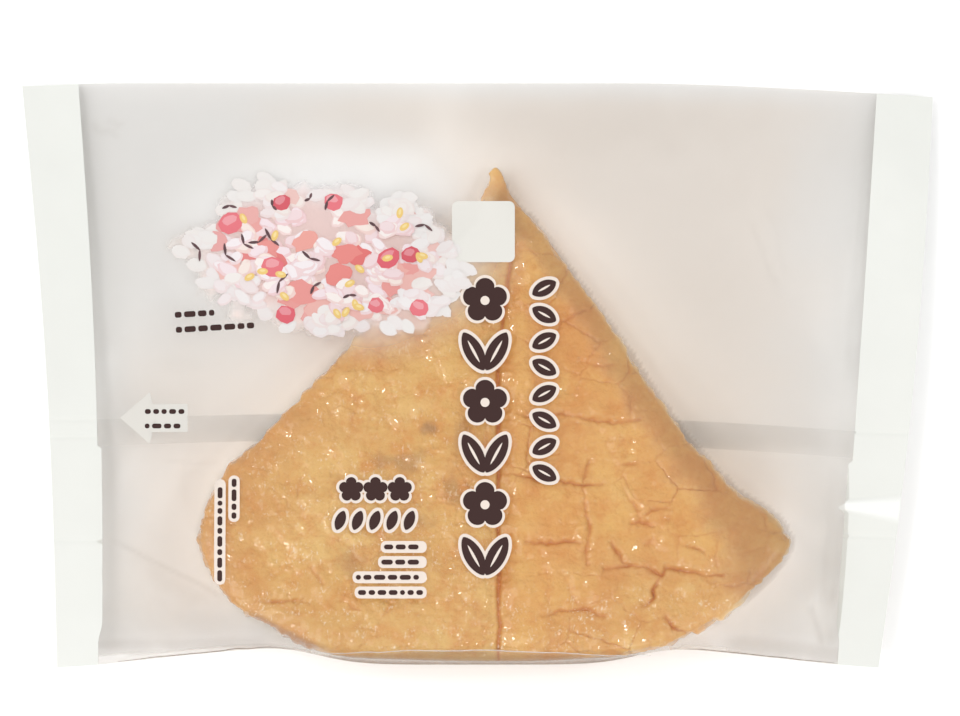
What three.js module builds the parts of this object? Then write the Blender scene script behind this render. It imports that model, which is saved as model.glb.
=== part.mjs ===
// A triangular inari sushi, a fried tofu pouch filled with rice, sealed in a clear film pack.
//
// The pack lies on its back with its printed front up. X runs along the film tube from the left
// end seal to the right one, Y runs from the pouch's base to its apex, and Z points out of the front.
// The origin is on the surface that the pack lies on, under the middle of its bounding box.
//
// The film is closed all round, so the pack is one solid. Its front and back are membranes that are
// stretched over the pouch and held along the two end seals and the two folds. Units are millimetres.

import * as THREE from 'three';
import { mergeVertices } from 'three/addons/utils/BufferGeometryUtils.js';

const { clamp, lerp, smoothstep } = THREE.MathUtils;

// Pack, measured over the end seals
const PACK_TOP_WIDTH = 170;
const PACK_BOTTOM_WIDTH = 153;
const PACK_BOTTOM_SHIFT = -1.8;
const PACK_SIDE_BOW = 1.4;
const PACK_HEIGHT = 109;
const TOP_LEFT_FALL = 0.55;
const TOP_LEFT_START = 0.8;
const TOP_RIGHT_FALL = 2.6;
const TOP_RIGHT_START = 0.36;
const TOP_RIGHT_POWER = 1.4;
const FOLD_HOLLOW = 4.1;
const FOLD_HOLLOW_INSIDE = 0.4;
const FOLD_HOLLOW_OUTSIDE = 1.12;
const FOLD_BULGE = 3.2;
const FOLD_BULGE_X = 2;
const FOLD_BULGE_HALF_WIDTH = 31;

// End seals and folds: widths, and heights above the surface that the pack lies on
const SEAL_TOP_WIDTH = 10.2;
const SEAL_BOTTOM_WIDTH = 7.4;
const SEAL_RIGHT_BOW = 1.2;
const SEAL_TOP_HEIGHT = 3;
const SEAL_BOTTOM_HEIGHT = 8;
const SEAL_BOW = 2.6;
const TOP_FOLD_HEIGHT = 2.4;
const BOTTOM_FOLD_HEIGHT = 9.6;
const SEALED_THICKNESS = 0.6;

// How hard the free film is drawn in round the pouch, in millimetres for each grid step
const FRONT_DRAW_IN = 0.055;
const BACK_DRAW_IN = 0.009;

// Pouch outline, anticlockwise from above, starting at the apex
const POUCH_OUTLINE = [
  [3.4, 39], [1.8, 37.9], [1.8, 35.9], [0.6, 33.5], [-0.8, 29.8], [-24.3, 5.8], [-39.5, -10.1],
  [-48.5, -19], [-52.6, -31], [-45.8, -42.9], [-37.2, -48.2], [-28.4, -51.8], [-12, -53.2],
  [18, -53.3], [35.5, -51.1], [52.1, -40.4], [58.7, -31.4], [57, -27.2], [53.8, -24.2],
  [49.2, -21.4], [41.2, -13.2], [34.9, -4.8], [27.4, 6.5], [19.2, 17.8], [13.2, 26],
  [10.9, 28.9], [7.6, 32.4], [6.2, 34.5], [5.5, 36.4], [4.6, 38.4],
];
const POUCH_APEX_Y = 38.5;
const POUCH_BASE_Y = -53.4;

// Pouch section: the height of its rim, how far its front rises above that, and how the edges round over
const RIM_APEX_HEIGHT = 4.4;
const RIM_BASE_HEIGHT = 17;
const FRONT_APEX_RISE = 2.6;
const FRONT_BASE_RISE = 9;
const FRONT_ROUND = 9;
const FRONT_SQUARENESS = 4.5;
const BACK_ROUND = 7;
const BACK_SQUARENESS = 2;

// Film round the pouch: its clearance, and how steeply it falls from the rim at most
const FILM_CLEARANCE = 0.25;
const FILM_FALL = 2.4;

// Grid of the faceted solid
const SEAL_COLUMNS = 2;
const FILM_COLUMNS = 52;
const COLUMNS = FILM_COLUMNS + 2 * SEAL_COLUMNS;
const ROWS = 42;
const OUTLINE_STEPS = 240;
const RELAX_STEPS = 900;

// Plan of the pack. across runs from -1 at the left edge to 1 at the right, up from 0 to 1.

function packEdges(up) {
  const half = lerp(PACK_BOTTOM_WIDTH, PACK_TOP_WIDTH, up) / 2;
  const bow = Math.sin(Math.PI * up);
  const middle = PACK_BOTTOM_SHIFT * (1 - up) + PACK_SIDE_BOW * bow;
  const leftSeal = lerp(SEAL_BOTTOM_WIDTH, SEAL_TOP_WIDTH, up);
  const rightSeal = leftSeal + SEAL_RIGHT_BOW * bow;
  return { left: middle - half, right: middle + half, leftSeal, rightSeal };
}

function topFoldY(across) {
  const toLeft = smoothstep(-across, TOP_LEFT_START, 1);
  const toRight = Math.max(0, (across - TOP_RIGHT_START) / (1 - TOP_RIGHT_START));
  return PACK_HEIGHT / 2 - TOP_LEFT_FALL * toLeft - TOP_RIGHT_FALL * Math.pow(toRight, TOP_RIGHT_POWER);
}

function hollowShare(across) {
  return smoothstep(Math.abs(across), FOLD_HOLLOW_INSIDE, FOLD_HOLLOW_OUTSIDE);
}

function bottomFoldY(across) {
  const x = across * PACK_BOTTOM_WIDTH / 2;
  const hollow = FOLD_HOLLOW * (hollowShare(1) - hollowShare(across));
  const bulge = FOLD_BULGE * Math.exp(-Math.pow((x - FOLD_BULGE_X) / FOLD_BULGE_HALF_WIDTH, 6));
  return -PACK_HEIGHT / 2 + hollow - bulge;
}

function planPoint(column, row) {
  const up = row / ROWS;
  const { left, right, leftSeal, rightSeal } = packEdges(up);
  const film = (column - SEAL_COLUMNS) / FILM_COLUMNS;
  const beforeFilm = column / SEAL_COLUMNS;
  const afterFilm = (column - SEAL_COLUMNS - FILM_COLUMNS) / SEAL_COLUMNS;
  let x = lerp(left + leftSeal, right - rightSeal, clamp(film, 0, 1));
  if (beforeFilm < 1) x = lerp(left, left + leftSeal, beforeFilm);
  if (afterFilm > 0) x = lerp(right - rightSeal, right, afterFilm);
  const across = (2 * x - left - right) / (right - left);
  return { x, y: lerp(bottomFoldY(across), topFoldY(across), up), across, up };
}

// Pouch: a plump body whose rim is the outline, with a flat back

const outline = new THREE.CatmullRomCurve3(
  POUCH_OUTLINE.map(([x, y]) => new THREE.Vector3(x, y, 0)), true, 'centripetal',
).getSpacedPoints(OUTLINE_STEPS);

function depthInsidePouch(x, y) {
  let nearest = Infinity;
  let inside = false;
  for (let i = 0; i < OUTLINE_STEPS; i += 1) {
    const a = outline[i];
    const b = outline[i + 1];
    const along = clamp(((x - a.x) * (b.x - a.x) + (y - a.y) * (b.y - a.y)) / a.distanceToSquared(b), 0, 1);
    nearest = Math.min(nearest, Math.hypot(lerp(a.x, b.x, along) - x, lerp(a.y, b.y, along) - y));
    const crosses = (a.y > y) !== (b.y > y) && x < a.x + (b.x - a.x) * (y - a.y) / (b.y - a.y);
    if (crosses) inside = !inside;
  }
  return inside ? nearest : -nearest;
}

function roundedShare(depth, radius, squareness) {
  const left = 1 - clamp(depth / radius, 0, 1);
  return Math.pow(1 - Math.pow(left, squareness), 1 / squareness);
}

function pouchHeights(x, y) {
  const depth = depthInsidePouch(x, y);
  const towardsApex = (y - POUCH_BASE_Y) / (POUCH_APEX_Y - POUCH_BASE_Y);
  const rim = lerp(RIM_BASE_HEIGHT, RIM_APEX_HEIGHT, towardsApex);
  const rise = lerp(FRONT_BASE_RISE, FRONT_APEX_RISE, towardsApex);
  const fall = FILM_FALL * Math.max(0, -depth);
  const back = rim * (1 - roundedShare(depth, BACK_ROUND, BACK_SQUARENESS)) - FILM_CLEARANCE;
  return {
    front: rim + rise * roundedShare(depth, FRONT_ROUND, FRONT_SQUARENESS) - fall + FILM_CLEARANCE,
    back: depth > 0 ? Math.max(0, back) : Infinity,
  };
}

// Film: the line along which front and back are joined, then the two membranes

function joinHeight({ across, up }) {
  const seal = lerp(SEAL_BOTTOM_HEIGHT, SEAL_TOP_HEIGHT, up) + SEAL_BOW * Math.sin(Math.PI * up);
  const fold = lerp(BOTTOM_FOLD_HEIGHT, TOP_FOLD_HEIGHT, up);
  return lerp(fold, seal, Math.pow(Math.abs(across), 4));
}

function isJoined(column, row) {
  const inSeal = column <= SEAL_COLUMNS || column >= COLUMNS - SEAL_COLUMNS;
  return inSeal || row === 0 || row === ROWS;
}

const cells = [];
for (let column = 0; column <= COLUMNS; column += 1) {
  for (let row = 0; row <= ROWS; row += 1) {
    const plan = planPoint(column, row);
    const join = joinHeight(plan);
    cells.push({
      ...plan,
      joined: isJoined(column, row),
      pouch: pouchHeights(plan.x, plan.y),
      front: join + SEALED_THICKNESS / 2,
      back: join - SEALED_THICKNESS / 2,
    });
  }
}

function cellAt(column, row) {
  return cells[column * (ROWS + 1) + row];
}

function neighbourMean(column, row, side) {
  const beside = cellAt(column - 1, row)[side] + cellAt(column + 1, row)[side];
  return (beside + cellAt(column, row - 1)[side] + cellAt(column, row + 1)[side]) / 4;
}

function relaxCell(column, row) {
  const cell = cellAt(column, row);
  if (cell.joined) return;
  cell.back = clamp(neighbourMean(column, row, 'back') - BACK_DRAW_IN, 0, cell.pouch.back);
  const frontLimit = Math.max(cell.pouch.front, cell.back + SEALED_THICKNESS);
  cell.front = Math.max(neighbourMean(column, row, 'front') - FRONT_DRAW_IN, frontLimit);
}

for (let step = 0; step < RELAX_STEPS; step += 1) {
  for (let column = 1; column < COLUMNS; column += 1) {
    for (let row = 1; row < ROWS; row += 1) relaxCell(column, row);
  }
}

// Solid: a box of grid faces whose corners are moved onto the two membranes

function packGeometry() {
  const box = new THREE.BoxGeometry(COLUMNS, ROWS, 2, COLUMNS, ROWS, 1);
  box.deleteAttribute('normal');
  box.deleteAttribute('uv');
  const geometry = mergeVertices(box);
  const corners = geometry.attributes.position;
  for (let i = 0; i < corners.count; i += 1) {
    const column = Math.round(corners.getX(i) + COLUMNS / 2);
    const row = Math.round(corners.getY(i) + ROWS / 2);
    const cell = cellAt(column, row);
    corners.setXYZ(i, cell.x, cell.y, corners.getZ(i) > 0 ? cell.front : cell.back);
  }
  geometry.computeVertexNormals();
  return geometry;
}

const film = new THREE.MeshStandardMaterial({ color: 0xe6ddd0, roughness: 0.45, metalness: 0 });

const pack = new THREE.Mesh(packGeometry(), film);
pack.name = 'film_pack';

const inariSushiPack = new THREE.Group();
inariSushiPack.add(pack);

export default inariSushiPack;
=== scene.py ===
# A triangular inari sushi, a fried tofu pouch filled with rice, sealed in a clear film pack.
# The pack lies on its back with its printed front up and is seen from straight above.
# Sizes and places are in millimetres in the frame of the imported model, and become metres in the meshes.
import math
import random

import bmesh
import bpy
import numpy as np
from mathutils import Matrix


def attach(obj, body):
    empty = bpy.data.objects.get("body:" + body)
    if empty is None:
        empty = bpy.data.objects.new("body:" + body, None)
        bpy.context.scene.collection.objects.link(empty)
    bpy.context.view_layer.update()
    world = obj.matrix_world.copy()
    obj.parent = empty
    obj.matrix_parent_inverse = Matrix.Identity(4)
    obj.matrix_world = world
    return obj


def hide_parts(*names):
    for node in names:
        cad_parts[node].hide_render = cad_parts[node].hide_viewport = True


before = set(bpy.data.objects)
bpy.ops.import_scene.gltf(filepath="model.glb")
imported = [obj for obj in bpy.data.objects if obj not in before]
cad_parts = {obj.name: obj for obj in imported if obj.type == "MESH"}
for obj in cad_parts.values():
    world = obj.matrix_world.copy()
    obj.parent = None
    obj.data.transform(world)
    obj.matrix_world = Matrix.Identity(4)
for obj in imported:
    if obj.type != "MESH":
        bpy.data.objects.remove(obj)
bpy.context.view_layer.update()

MM = 0.001
BODY = "root"
PACK_NODE = "film_pack"

# Pack, measured over the end seals
PACK_TOP_WIDTH = 170.0
PACK_BOTTOM_WIDTH = 153.0
PACK_BOTTOM_SHIFT = -1.8
PACK_SIDE_BOW = 1.4
PACK_HEIGHT = 109.0
TOP_LEFT_FALL = 0.55
TOP_LEFT_START = 0.8
TOP_RIGHT_FALL = 2.6
TOP_RIGHT_START = 0.36
TOP_RIGHT_POWER = 1.4
FOLD_HOLLOW = 4.1
FOLD_HOLLOW_INSIDE = 0.4
FOLD_HOLLOW_OUTSIDE = 1.12
FOLD_BULGE = 3.2
FOLD_BULGE_X = 2.0
FOLD_BULGE_HALF_WIDTH = 31.0

# End seals and folds
SEAL_TOP_WIDTH = 10.2
SEAL_BOTTOM_WIDTH = 7.4
SEAL_RIGHT_BOW = 1.2
SEAL_TOP_HEIGHT = 3.0
SEAL_BOTTOM_HEIGHT = 8.0
SEAL_BOW = 2.6
SEAL_THICKNESS = 0.3
SEAL_OVERLAP = 0.25
TOP_FOLD_HEIGHT = 2.4
BOTTOM_FOLD_HEIGHT = 9.6

# Film: how hard it is drawn in, as a curvature, and the room that it keeps to the pouch and the floor
FRONT_DRAW_IN = 0.03
BACK_DRAW_IN = 0.005
FILM_CLEARANCE = 0.3
FILM_SPREAD = 0.35
FILM_FALL = 2.4
BACK_LOWEST = 0.35
FILM_LEVELS = ((60, 42, 1500), (120, 84, 500), (240, 168, 260))
OPEN_HEIGHT = 99.0

# Seals: pressed lines by side, as heights and slopes, the jog below the back seam and the wedge fold
SEAL_LINES = {
    -1: ((-8.4, 0.0), (-11.6, 0.0), (-31.0, 0.02)),
    1: ((-10.7, -0.02), (-30.0, -0.03)),
}
SEAL_GRID = (30, 420)
SEAL_LINE_DEPTH = 0.14
SEAL_LINE_HALF = 0.35
SEAL_JOG = 0.75
SEAL_JOG_Y = {-1: -13.4, 1: -15.8}
SEAL_FOOT_Y = -46.0
WEDGE_TIP_X = 68.4
WEDGE_END_X = 78.8
WEDGE_Y = -24.4
WEDGE_DROP = 0.6
WEDGE_HALF = 2.4
WEDGE_RISE = 0.35
WEDGE_TIP = 1.5
WEDGE_TIP_HALF = 1.0

# Back seam: a fin of film laid flat behind the pack
SEAM_GRID = (150, 8)
SEAM_UP = 0.4
SEAM_WIDTH = 5.0
SEAM_MIDDLE_Y = -9.8
SEAM_SLOPE = -0.0155
SEAM_ARCH = 0.00042
SEAM_DROP = 0.12
SEAM_THICKNESS = 0.06
SEAM_HAZE = 0.015
SEAM_SHEER = 0.945
# Painted light: the seam's ends are made clearer to lift the shade of the end seals
SEAM_END_SHADOW_LIFT = 1.0
SEAM_END = 20.0

# Pouch outline, anticlockwise from above, starting at the apex
POUCH_OUTLINE = (
    (3.4, 39.0), (1.8, 37.9), (1.8, 35.9), (0.6, 33.5), (-0.8, 29.8), (-24.3, 5.8), (-39.5, -10.1),
    (-48.5, -19.0), (-52.6, -31.0), (-45.8, -42.9), (-37.2, -48.2), (-28.4, -51.7), (-12.0, -52.9),
    (18.0, -52.8), (35.2, -50.6), (52.1, -40.4), (58.7, -31.4), (57.0, -27.2), (53.8, -24.2),
    (49.2, -21.4), (41.2, -13.2), (34.9, -4.8), (27.4, 6.5), (19.2, 17.8), (13.2, 26.0),
    (10.9, 28.9), (7.6, 32.4), (6.2, 34.5), (5.5, 36.4), (4.6, 38.4),
)
POUCH_APEX_Y = 38.5
POUCH_BASE_Y = -53.4
RIM_APEX_HEIGHT = 4.4
RIM_BASE_HEIGHT = 17.0
FRONT_APEX_RISE = 2.6
FRONT_BASE_RISE = 9.0
FRONT_ROUND = 9.0
FRONT_SQUARENESS = 4.5
BACK_ROUND = 7.0
BACK_SQUARENESS = 2.0
POUCH_LOWEST = 0.7
OUTLINE_STEPS = 720
POUCH_RINGS = 48
POUCH_VOXEL = 0.46
OUTWARD_LIMIT = 0.14

# Camera: straight above, so far away that the pack shows almost no perspective
PHOTO_WIDTH_PX = 960
PACK_WIDTH_PX = 913
PHOTO_PX_SIZE = PACK_TOP_WIDTH / PACK_WIDTH_PX
CAMERA_X = 0.47
CAMERA_Y = 3.17
CAMERA_PLANE_Z = 9.0
CAMERA_DISTANCE = 2200.0
SENSOR_WIDTH = 36.0


# Noise and curves

def lerp(a, b, share):
    return a + (b - a) * share


def smoothstep(low, high, value):
    share = np.clip((value - low) / (high - low), 0, 1)
    return share * share * (3 - 2 * share)


def lattice(i, j, seed):
    """A fixed random number from 0 to 1 for each corner of a square lattice."""
    mixed = (i * 374761393 + j * 668265263 + seed * 974711) & 0xFFFFFFFF
    mixed = ((mixed ^ (mixed >> 13)) * 1274126177) & 0xFFFFFFFF
    return ((mixed ^ (mixed >> 16)) & 0xFFFF) / 65535.0


def wave_noise(x, y, size, seed):
    """Smooth noise from -1 to 1 with bumps about size across."""
    x, y = x / size, y / size
    i, j = np.floor(x).astype(np.int64), np.floor(y).astype(np.int64)
    across, up = smoothstep(0, 1, x - i), smoothstep(0, 1, y - j)
    low = lerp(lattice(i, j, seed), lattice(i + 1, j, seed), across)
    high = lerp(lattice(i, j + 1, seed), lattice(i + 1, j + 1, seed), across)
    return lerp(low, high, up) * 2 - 1


def rough_noise(x, y, size, seed, octaves=3):
    """Noise with finer bumps added on top, each half as large and half as high."""
    total = 0
    for octave in range(octaves):
        total = total + wave_noise(x, y, size / 2 ** octave, seed + octave) / 2 ** octave
    return total


def cell_gap(x, y, size, seed):
    """How far a point is from the border between two cells of a crazed surface, in cell sizes."""
    x, y = x / size, y / size
    i, j = np.floor(x).astype(np.int64), np.floor(y).astype(np.int64)
    nearest = np.full(x.shape, 9.0)
    second = np.full(x.shape, 9.0)
    for di in (-1, 0, 1):
        for dj in (-1, 0, 1):
            px = i + di + lattice(i + di, j + dj, seed)
            py = j + dj + lattice(i + di, j + dj, seed + 7)
            away = np.hypot(px - x, py - y)
            second = np.minimum(second, np.maximum(nearest, away))
            nearest = np.minimum(nearest, away)
    return second - nearest


def closed_curve(points, steps):
    """Evenly spaced points on a closed curve through the given points, with centripetal spacing."""
    points = np.array(points, float)
    count = len(points)
    fine = []
    for k in range(count):
        p = [points[(k + n - 1) % count] for n in range(4)]
        t = [0.0]
        for n in range(3):
            t.append(t[-1] + math.sqrt(np.linalg.norm(p[n + 1] - p[n])))
        for s in np.linspace(t[1], t[2], 60, endpoint=False):
            a = [lerp(p[n], p[n + 1], (s - t[n]) / (t[n + 1] - t[n])) for n in range(3)]
            b = [lerp(a[n], a[n + 1], (s - t[n]) / (t[n + 2] - t[n])) for n in range(2)]
            fine.append(lerp(b[0], b[1], (s - t[1]) / (t[2] - t[1])))
    fine = np.array(fine + fine[:1])
    length = np.concatenate(([0], np.cumsum(np.linalg.norm(np.diff(fine, axis=0), axis=1))))
    at = np.linspace(0, length[-1], steps, endpoint=False)
    return np.column_stack([np.interp(at, length, fine[:, axis]) for axis in (0, 1)])


# Plan of the pack: across runs from -1 at the left edge to 1 at the right, up from 0 to 1

def pack_edges(up):
    """The left and right edges of the pack, and how wide the left and right end seals are."""
    half = lerp(PACK_BOTTOM_WIDTH, PACK_TOP_WIDTH, up) / 2
    bow = np.sin(math.pi * up)
    middle = PACK_BOTTOM_SHIFT * (1 - up) + PACK_SIDE_BOW * bow
    seal = lerp(SEAL_BOTTOM_WIDTH, SEAL_TOP_WIDTH, up)
    return middle - half, middle + half, seal, seal + SEAL_RIGHT_BOW * bow


def film_edges(up):
    """Where the clear film meets the left and the right end seal."""
    left, right, left_seal, right_seal = pack_edges(up)
    return left + left_seal, right - right_seal


def top_fold_y(across):
    to_left = smoothstep(TOP_LEFT_START, 1, -across)
    to_right = np.maximum(0, (across - TOP_RIGHT_START) / (1 - TOP_RIGHT_START))
    return PACK_HEIGHT / 2 - TOP_LEFT_FALL * to_left - TOP_RIGHT_FALL * to_right ** TOP_RIGHT_POWER


def hollow_share(across):
    return smoothstep(FOLD_HOLLOW_INSIDE, FOLD_HOLLOW_OUTSIDE, np.abs(across))


def bottom_fold_y(across):
    x = across * PACK_BOTTOM_WIDTH / 2
    hollow = FOLD_HOLLOW * (hollow_share(1) - hollow_share(across))
    bulge = FOLD_BULGE * np.exp(-((x - FOLD_BULGE_X) / FOLD_BULGE_HALF_WIDTH) ** 6)
    return -PACK_HEIGHT / 2 + hollow - bulge


def across_at(x, up):
    left, right = pack_edges(up)[:2]
    return (2 * x - left - right) / (right - left)


def plan_y(x, up):
    across = across_at(x, up)
    return lerp(bottom_fold_y(across), top_fold_y(across), up)


def join_height(across, up):
    seal = lerp(SEAL_BOTTOM_HEIGHT, SEAL_TOP_HEIGHT, up) + SEAL_BOW * np.sin(math.pi * up)
    fold = lerp(BOTTOM_FOLD_HEIGHT, TOP_FOLD_HEIGHT, up)
    return lerp(fold, seal, np.abs(across) ** 4)


# Pouch form: a plump body whose rim is the outline, with a flat back

outline = closed_curve(POUCH_OUTLINE, OUTLINE_STEPS)


def depth_inside(x, y):
    """How far a point is inside the pouch's outline, negative outside it."""
    flat_x, flat_y = np.ravel(x), np.ravel(y)
    nearest = np.full(flat_x.shape, np.inf)
    inside = np.zeros(flat_x.shape, bool)
    for a, b in zip(outline, np.roll(outline, -1, axis=0)):
        nearest = np.minimum(nearest, np.hypot(flat_x - a[0], flat_y - a[1]))
        if a[1] != b[1]:
            crossing = a[0] + (b[0] - a[0]) * (flat_y - a[1]) / (b[1] - a[1])
            inside ^= ((a[1] > flat_y) != (b[1] > flat_y)) & (flat_x < crossing)
    return np.where(inside, nearest, -nearest).reshape(np.shape(x))


def rounded_share(depth, radius, squareness):
    left = 1 - np.clip(depth / radius, 0, 1)
    return (1 - left ** squareness) ** (1 / squareness)


def pouch_rim(y):
    return lerp(RIM_BASE_HEIGHT, RIM_APEX_HEIGHT, (y - POUCH_BASE_Y) / (POUCH_APEX_Y - POUCH_BASE_Y))


def pouch_front(y, depth):
    rise = lerp(FRONT_BASE_RISE, FRONT_APEX_RISE, (y - POUCH_BASE_Y) / (POUCH_APEX_Y - POUCH_BASE_Y))
    return pouch_rim(y) + rise * rounded_share(depth, FRONT_ROUND, FRONT_SQUARENESS)


def pouch_back(y, depth):
    return np.maximum(POUCH_LOWEST, pouch_rim(y) * (1 - rounded_share(depth, BACK_ROUND, BACK_SQUARENESS)))


# Film form: two membranes held along the seals and folds and drawn in round the pouch

def film_plan(columns, rows):
    up = np.linspace(0, 1, rows + 1)[None, :] * np.ones((columns + 1, 1))
    share = np.linspace(0, 1, columns + 1)[:, None]
    x = lerp(*film_edges(up), share)
    return x, plan_y(x, up), across_at(x, up), up


def sample_grid(grid, column, row):
    """Bilinear reading of a grid at fractional columns and rows."""
    columns, rows = grid.shape[0] - 1, grid.shape[1] - 1
    column, row = np.clip(column, 0, columns), np.clip(row, 0, rows)
    i = np.minimum(column.astype(int), columns - 1)
    j = np.minimum(row.astype(int), rows - 1)
    u, v = column - i, row - j
    low = lerp(grid[i, j], grid[i + 1, j], u)
    high = lerp(grid[i, j + 1], grid[i + 1, j + 1], u)
    return lerp(low, high, v)


def refined(grid, columns, rows):
    column = np.linspace(0, grid.shape[0] - 1, columns + 1)[:, None] * np.ones((1, rows + 1))
    row = np.linspace(0, grid.shape[1] - 1, rows + 1)[None, :] * np.ones((columns + 1, 1))
    return sample_grid(grid, column, row)


def inner_mean(grid):
    return (grid[:-2, 1:-1] + grid[2:, 1:-1] + grid[1:-1, :-2] + grid[1:-1, 2:]) / 4


def relaxed_film():
    """Heights of the front and back film on the finest grid, solved from coarse to fine."""
    front = back = None
    for columns, rows, steps in FILM_LEVELS:
        x, y, across, up = film_plan(columns, rows)
        join = join_height(across, up)
        depth = depth_inside(x, y) + FILM_SPREAD
        under = pouch_front(y, depth) - FILM_FALL * np.maximum(0, -depth) + FILM_CLEARANCE
        over = np.maximum(BACK_LOWEST, pouch_back(y, depth) - FILM_CLEARANCE)
        over = np.where(depth > 0, over, OPEN_HEIGHT)
        cell = (PACK_HEIGHT / rows) ** 2
        front = join.copy() if front is None else refined(front, columns, rows)
        back = join.copy() if back is None else refined(back, columns, rows)
        for edge in (np.s_[0, :], np.s_[-1, :], np.s_[:, 0], np.s_[:, -1]):
            front[edge] = join[edge]
            back[edge] = join[edge]
        inner = np.s_[1:-1, 1:-1]
        for _ in range(steps):
            back[inner] = np.clip(inner_mean(back) - BACK_DRAW_IN * cell / 4, BACK_LOWEST, over[inner])
            drawn = inner_mean(front) - FRONT_DRAW_IN * cell / 4
            front[inner] = np.maximum(drawn, np.maximum(under[inner], back[inner] + SEAM_THICKNESS))
    return front, back


film_front, film_back = relaxed_film()


def film_height(grid, x, y):
    """Height of a film grid over a point of the floor."""
    columns, rows = grid.shape[0] - 1, grid.shape[1] - 1
    up = np.full(np.shape(x), 0.5)
    for _ in range(4):
        across = across_at(x, up)
        up = (y - bottom_fold_y(across)) / (top_fold_y(across) - bottom_fold_y(across))
    left, right = film_edges(up)
    return sample_grid(grid, (x - left) / (right - left) * columns, up * rows)


# Meshes and pieces

def piece(name, points, faces, material, smooth=True):
    """A mesh object on the pack's one body, from points in millimetres."""
    mesh = bpy.data.meshes.new(name)
    mesh.from_pydata((np.asarray(points) * MM).tolist(), [], faces)
    mesh.update()
    mesh.polygons.foreach_set("use_smooth", [smooth] * len(mesh.polygons))
    mesh.materials.append(material)
    obj = bpy.data.objects.new(name, mesh)
    bpy.context.scene.collection.objects.link(obj)
    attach(obj, BODY)
    return obj


def set_attribute(obj, name, values):
    layer = obj.data.attributes.new(name, "FLOAT", "POINT")
    layer.data.foreach_set("value", np.ascontiguousarray(values, np.float32))


def grid_faces(columns, rows, index, flip=False):
    faces = []
    for i in range(columns):
        for j in range(rows):
            face = (index(i, j), index(i + 1, j), index(i + 1, j + 1), index(i, j + 1))
            faces.append(face[::-1] if flip else face)
    return faces


def border_of(index):
    return [*index[:, 0], *index[-1, 1:], *index[-2::-1, -1], *index[0, -2:0:-1]]


def sharpen_border(mesh, on_border):
    """Marks the edges between border points as sharp, so that the two sides shade apart."""
    ends = np.empty(len(mesh.edges) * 2, np.int32)
    mesh.edges.foreach_get("vertices", ends)
    sharp = on_border[ends.reshape(-1, 2)].all(axis=1)
    mesh.attributes.new("sharp_edge", "BOOLEAN", "EDGE").data.foreach_set("value", sharp)


def thin_plate(name, x, y, low, high, material):
    """A closed sheet from two grids of heights over the same grid of places."""
    columns, rows = x.shape[0] - 1, x.shape[1] - 1
    count = x.size
    index = np.arange(count).reshape(x.shape)
    top = np.column_stack((x.ravel(), y.ravel(), high.ravel()))
    bottom = np.column_stack((x.ravel(), y.ravel(), low.ravel()))
    faces = grid_faces(columns, rows, lambda i, j: int(index[i, j]))
    faces += grid_faces(columns, rows, lambda i, j: int(index[i, j]) + count, flip=True)
    border = border_of(index)
    for a, b in zip(border, border[1:] + border[:1]):
        faces.append((int(a), int(a) + count, int(b) + count, int(b)))
    obj = piece(name, np.concatenate((top, bottom)), faces, material)
    sharpen_border(obj.data, np.isin(np.arange(2 * count) % count, border))
    return obj


# Shading

def linear(red, green, blue):
    """A colour given in the 0 to 255 numbers of a screen, as the shaders want it."""
    shares = np.array((red, green, blue)) / 255
    values = np.where(shares <= 0.04045, shares / 12.92, ((shares + 0.055) / 1.055) ** 2.4)
    return (*values.tolist(), 1.0)


class Shading:
    """A material's node tree. An input is a value or the output of another node."""

    def __init__(self, name):
        self.material = bpy.data.materials.new(name)
        self.material.use_nodes = True
        self.tree = self.material.node_tree
        self.tree.nodes.clear()

    def add(self, kind, inputs, **settings):
        node = self.tree.nodes.new(kind)
        for key, value in settings.items():
            setattr(node, key, value)
        for key, value in inputs.items():
            if isinstance(value, bpy.types.NodeSocket):
                self.tree.links.new(value, node.inputs[key])
            else:
                node.inputs[key].default_value = value
        return node

    def place(self):
        return self.add("ShaderNodeTexCoord", {}).outputs["Object"]

    def noise(self, size, detail=3.0, rough=0.5, at=None):
        """Noise from 0 to 1 with bumps about size millimetres across."""
        at = self.place() if at is None else at
        inputs = {"Vector": at, "Scale": 1 / (size * MM), "Detail": detail, "Roughness": rough}
        return self.add("ShaderNodeTexNoise", inputs).outputs["Fac"]

    def stretch(self, value, low, high, to_low=0.0, to_high=1.0):
        inputs = {0: value, 1: low, 2: high, 3: to_low, 4: to_high}
        return self.add("ShaderNodeMapRange", inputs, clamp=True).outputs[0]

    def maths(self, operation, a, b):
        return self.add("ShaderNodeMath", {0: a, 1: b}, operation=operation).outputs[0]

    def blend(self, share, a, b):
        return self.add("ShaderNodeMix", {0: share, 6: a, 7: b}, data_type="RGBA").outputs[2]

    def value(self, name):
        return self.add("ShaderNodeAttribute", {}, attribute_name=name).outputs["Fac"]

    def colour(self, name):
        return self.add("ShaderNodeAttribute", {}, attribute_name=name).outputs["Color"]

    def bump(self, height, strength, distance):
        inputs = {"Height": height, "Strength": strength, "Distance": distance * MM}
        return self.add("ShaderNodeBump", inputs).outputs["Normal"]

    def finish(self, shader):
        self.add("ShaderNodeOutputMaterial", {"Surface": shader})
        return self.material


SKIN_LEFT = (linear(217, 167, 91), linear(229, 190, 115))
SKIN_RIGHT = (linear(218, 157, 80), linear(229, 183, 103))
SKIN_ORANGE = linear(212, 142, 62)
SKIN_PALE = linear(236, 202, 136)
SKIN_SPECKLE = linear(234, 200, 136)
SKIN_FRECKLE = linear(188, 124, 50)
# Colour of the painted glint flecks
SKIN_PAINTED_GLINT = linear(255, 245, 224)
# The crease tint is painted shade in the creases, fold and wrinkles, and the grey underside tint is painted
# shade at the lower left edge
SKIN_TINTS = {
    "stain": linear(146, 112, 78),
    "crease": linear(196, 112, 34),
    "rim": linear(236, 206, 150),
    "underside_shade": linear(142, 118, 108),
    "toast": linear(206, 144, 74),
}


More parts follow.
